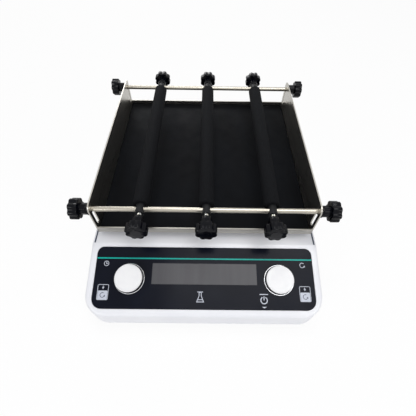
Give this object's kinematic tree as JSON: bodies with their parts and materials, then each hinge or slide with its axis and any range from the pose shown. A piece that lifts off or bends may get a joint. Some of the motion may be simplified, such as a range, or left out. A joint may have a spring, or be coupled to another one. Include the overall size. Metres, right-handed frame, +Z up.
{
  "type": "orbital shaker",
  "caption": "Open benchtop orbital shaker: sloped console with two knobs, and a stainless tray with foam clamping bars on cross rods that orbits on a crank.",
  "frame": {"origin": "on the bench, under the middle of the outer box", "axes": "+Z up, -Y towards the console and the user, +X to the user's right"},
  "size_m": [0.3976, 0.487, 0.1575],
  "materials": {
    "chassis_paint": "grey powder coat on steel plate",
    "housing_white": "white moulded plastic",
    "rubber_black": "moulded rubber",
    "screw_steel": "zinc plated steel",
    "panel_black": "glossy printed plastic",
    "display_grey": "grey display window",
    "moulded_black": "black moulded plastic",
    "board_green": "glass fibre board with green lacquer",
    "bright_trim": "chromed ring",
    "pin_brass": "nickel plated brass",
    "switch_black": "black moulded plastic",
    "plain_aluminium": "machined",
    "motor_paint": "black coated",
    "bearing_steel": "ground steel",
    "belt_rubber": "ribbed belt",
    "weight_iron": "machined cast iron",
    "tray_stainless": "bright stainless sheet",
    "mat_rubber": "smooth rubber sheet",
    "rod_stainless": "polished stainless bar",
    "foam_black": "closed-cell foam tube",
    "knob_black": "black moulded plastic",
    "control_white": "white moulded plastic"
  },
  "bodies": {
    "root": {"base_plate": "chassis_paint", "housing_shell": "housing_white", "rubber_feet": "rubber_black", "plate_screws": "screw_steel", "control_panel": "panel_black", "display_lens": "display_grey", "display_module": "moulded_black", "control_board": "board_green", "knob_trim_rings": "bright_trim", "encoder_bodies": "screw_steel", "power_inlet": "moulded_black", "inlet_pins": "pin_brass", "switch_frame": "switch_black", "power_supply": "plain_aluminium", "drive_motor": "motor_paint", "bearing_housings": "plain_aluminium", "shaft_bearings": "bearing_steel", "drive_belt": "belt_rubber", "mechanism_screws": "screw_steel", "small_screws": "screw_steel"},
    "main_crank": {"main_crank": "bearing_steel", "drive_pulley": "plain_aluminium", "counterweight": "weight_iron", "counterweight_screws": "screw_steel"},
    "motor_rotor": {"motor_pulley": "plain_aluminium"},
    "follower_rear": {"follower_crank_rear": "bearing_steel"},
    "follower_left": {"follower_crank_left": "bearing_steel"},
    "follower_right": {"follower_crank_right": "bearing_steel"},
    "platform": {"carrier_plate": "plain_aluminium", "carrier_bearings": "bearing_steel", "carrier_posts": "plain_aluminium", "tray": "tray_stainless", "tray_mat": "mat_rubber", "tray_screws": "screw_steel"},
    "clamp_frame": {"front_rod": "rod_stainless", "rear_rod": "rod_stainless"},
    "power_switch": {"power_switch": "switch_black"},
    "bar_left": {"bar_tube_left": "rod_stainless", "foam_sleeve_left": "foam_black", "bar_ends_left": "moulded_black"},
    "bar_knob_front_left": {"bar_knob_front_left": "knob_black"},
    "bar_knob_rear_left": {"bar_knob_rear_left": "knob_black"},
    "bar_centre": {"bar_tube_centre": "rod_stainless", "foam_sleeve_centre": "foam_black", "bar_ends_centre": "moulded_black"},
    "bar_knob_front_centre": {"bar_knob_front_centre": "knob_black"},
    "bar_knob_rear_centre": {"bar_knob_rear_centre": "knob_black"},
    "bar_right": {"bar_tube_right": "rod_stainless", "foam_sleeve_right": "foam_black", "bar_ends_right": "moulded_black"},
    "bar_knob_front_right": {"bar_knob_front_right": "knob_black"},
    "bar_knob_rear_right": {"bar_knob_rear_right": "knob_black"},
    "side_knob_front_left": {"side_knob_front_left": "knob_black"},
    "side_knob_rear_left": {"side_knob_rear_left": "knob_black"},
    "encoder_shaft_left": {"encoder_shaft_left": "screw_steel"},
    "control_knob_left": {"control_knob_left": "control_white"},
    "side_knob_front_right": {"side_knob_front_right": "knob_black"},
    "side_knob_rear_right": {"side_knob_rear_right": "knob_black"},
    "encoder_shaft_right": {"encoder_shaft_right": "screw_steel"},
    "control_knob_right": {"control_knob_right": "control_white"}
  },
  "joints": [
    {"name": "crank_spin", "type": "hinge", "parent": "root", "child": "main_crank", "pos_m": [0, 0.035, 0.05], "axis": [0, 0, 1], "continuous": true},
    {"name": "motor_spin", "type": "hinge", "parent": "root", "child": "motor_rotor", "pos_m": [0, -0.075, 0.045], "axis": [0, 0, 1], "continuous": true},
    {"name": "follower_spin_rear", "type": "hinge", "parent": "root", "child": "follower_rear", "pos_m": [0, 0.16, 0.05], "axis": [0, 0, 1], "continuous": true},
    {"name": "follower_spin_left", "type": "hinge", "parent": "root", "child": "follower_left", "pos_m": [-0.10825, -0.0275, 0.05], "axis": [0, 0, 1], "continuous": true},
    {"name": "follower_spin_right", "type": "hinge", "parent": "root", "child": "follower_right", "pos_m": [0.10825, -0.0275, 0.05], "axis": [0, 0, 1], "continuous": true},
    {"name": "platform_orbit", "type": "hinge", "parent": "main_crank", "child": "platform", "pos_m": [0, 0.045, 0.065], "axis": [0, 0, 1], "continuous": true},
    {"name": "clamp_height", "type": "slide", "parent": "platform", "child": "clamp_frame", "axis": [0, 0, 1], "range_m": [-0.028, 0]},
    {"name": "bar_slide_left", "type": "slide", "parent": "clamp_frame", "child": "bar_left", "axis": [1, 0, 0], "range_m": [-0.03, 0.03]},
    {"name": "bar_knob_front_left_turn", "type": "hinge", "parent": "bar_left", "child": "bar_knob_front_left", "pos_m": [-0.0965, -0.135, 0.141], "axis": [0, -1, 0], "continuous": true},
    {"name": "bar_knob_rear_left_turn", "type": "hinge", "parent": "bar_left", "child": "bar_knob_rear_left", "pos_m": [-0.0965, 0.225, 0.141], "axis": [0, 1, 0], "continuous": true},
    {"name": "bar_slide_centre", "type": "slide", "parent": "clamp_frame", "child": "bar_centre", "axis": [1, 0, 0], "range_m": [-0.03, 0.03]},
    {"name": "bar_knob_front_centre_turn", "type": "hinge", "parent": "bar_centre", "child": "bar_knob_front_centre", "pos_m": [0.002, -0.135, 0.141], "axis": [0, -1, 0], "continuous": true},
    {"name": "bar_knob_rear_centre_turn", "type": "hinge", "parent": "bar_centre", "child": "bar_knob_rear_centre", "pos_m": [0.002, 0.225, 0.141], "axis": [0, 1, 0], "continuous": true},
    {"name": "bar_slide_right", "type": "slide", "parent": "clamp_frame", "child": "bar_right", "axis": [1, 0, 0], "range_m": [-0.03, 0.03]},
    {"name": "bar_knob_front_right_turn", "type": "hinge", "parent": "bar_right", "child": "bar_knob_front_right", "pos_m": [0.1005, -0.135, 0.141], "axis": [0, -1, 0], "continuous": true},
    {"name": "bar_knob_rear_right_turn", "type": "hinge", "parent": "bar_right", "child": "bar_knob_rear_right", "pos_m": [0.1005, 0.225, 0.141], "axis": [0, 1, 0], "continuous": true},
    {"name": "side_knob_front_left_turn", "type": "hinge", "parent": "clamp_frame", "child": "side_knob_front_left", "pos_m": [-0.18, -0.1145, 0.141], "axis": [-1, 0, 0], "continuous": true},
    {"name": "side_knob_rear_left_turn", "type": "hinge", "parent": "clamp_frame", "child": "side_knob_rear_left", "pos_m": [-0.18, 0.2045, 0.141], "axis": [-1, 0, 0], "continuous": true},
    {"name": "control_push_left", "type": "slide", "parent": "root", "child": "encoder_shaft_left", "axis": [0, 0.2756, -0.9613], "range_m": [0, 0.001], "stiffness_N_per_m": 1500, "springref_m": -0.001},
    {"name": "control_turn_left", "type": "hinge", "parent": "encoder_shaft_left", "child": "control_knob_left", "pos_m": [-0.1158, -0.19054, 0.06315], "axis": [0, -0.2756, 0.9613], "continuous": true},
    {"name": "side_knob_front_right_turn", "type": "hinge", "parent": "clamp_frame", "child": "side_knob_front_right", "pos_m": [0.18, -0.1145, 0.141], "axis": [1, 0, 0], "continuous": true},
    {"name": "side_knob_rear_right_turn", "type": "hinge", "parent": "clamp_frame", "child": "side_knob_rear_right", "pos_m": [0.18, 0.2045, 0.141], "axis": [1, 0, 0], "continuous": true},
    {"name": "control_push_right", "type": "slide", "parent": "root", "child": "encoder_shaft_right", "axis": [0, 0.2756, -0.9613], "range_m": [0, 0.001], "stiffness_N_per_m": 1500, "springref_m": -0.001},
    {"name": "control_turn_right", "type": "hinge", "parent": "encoder_shaft_right", "child": "control_knob_right", "pos_m": [0.1158, -0.19054, 0.06315], "axis": [0, -0.2756, 0.9613], "continuous": true},
    {"name": "power_rocker", "type": "hinge", "parent": "root", "child": "power_switch", "pos_m": [-0.052, 0.2045, 0.046], "axis": [1, 0, 0], "range_deg": [-16, 0]}
  ],
  "couplings": [
    {"joint": "motor_spin", "follows": "crank_spin", "ratio": 3},
    {"joint": "follower_spin_rear", "follows": "crank_spin", "ratio": 1},
    {"joint": "follower_spin_left", "follows": "crank_spin", "ratio": 1},
    {"joint": "follower_spin_right", "follows": "crank_spin", "ratio": 1},
    {"joint": "platform_orbit", "follows": "crank_spin", "ratio": -1}
  ]
}
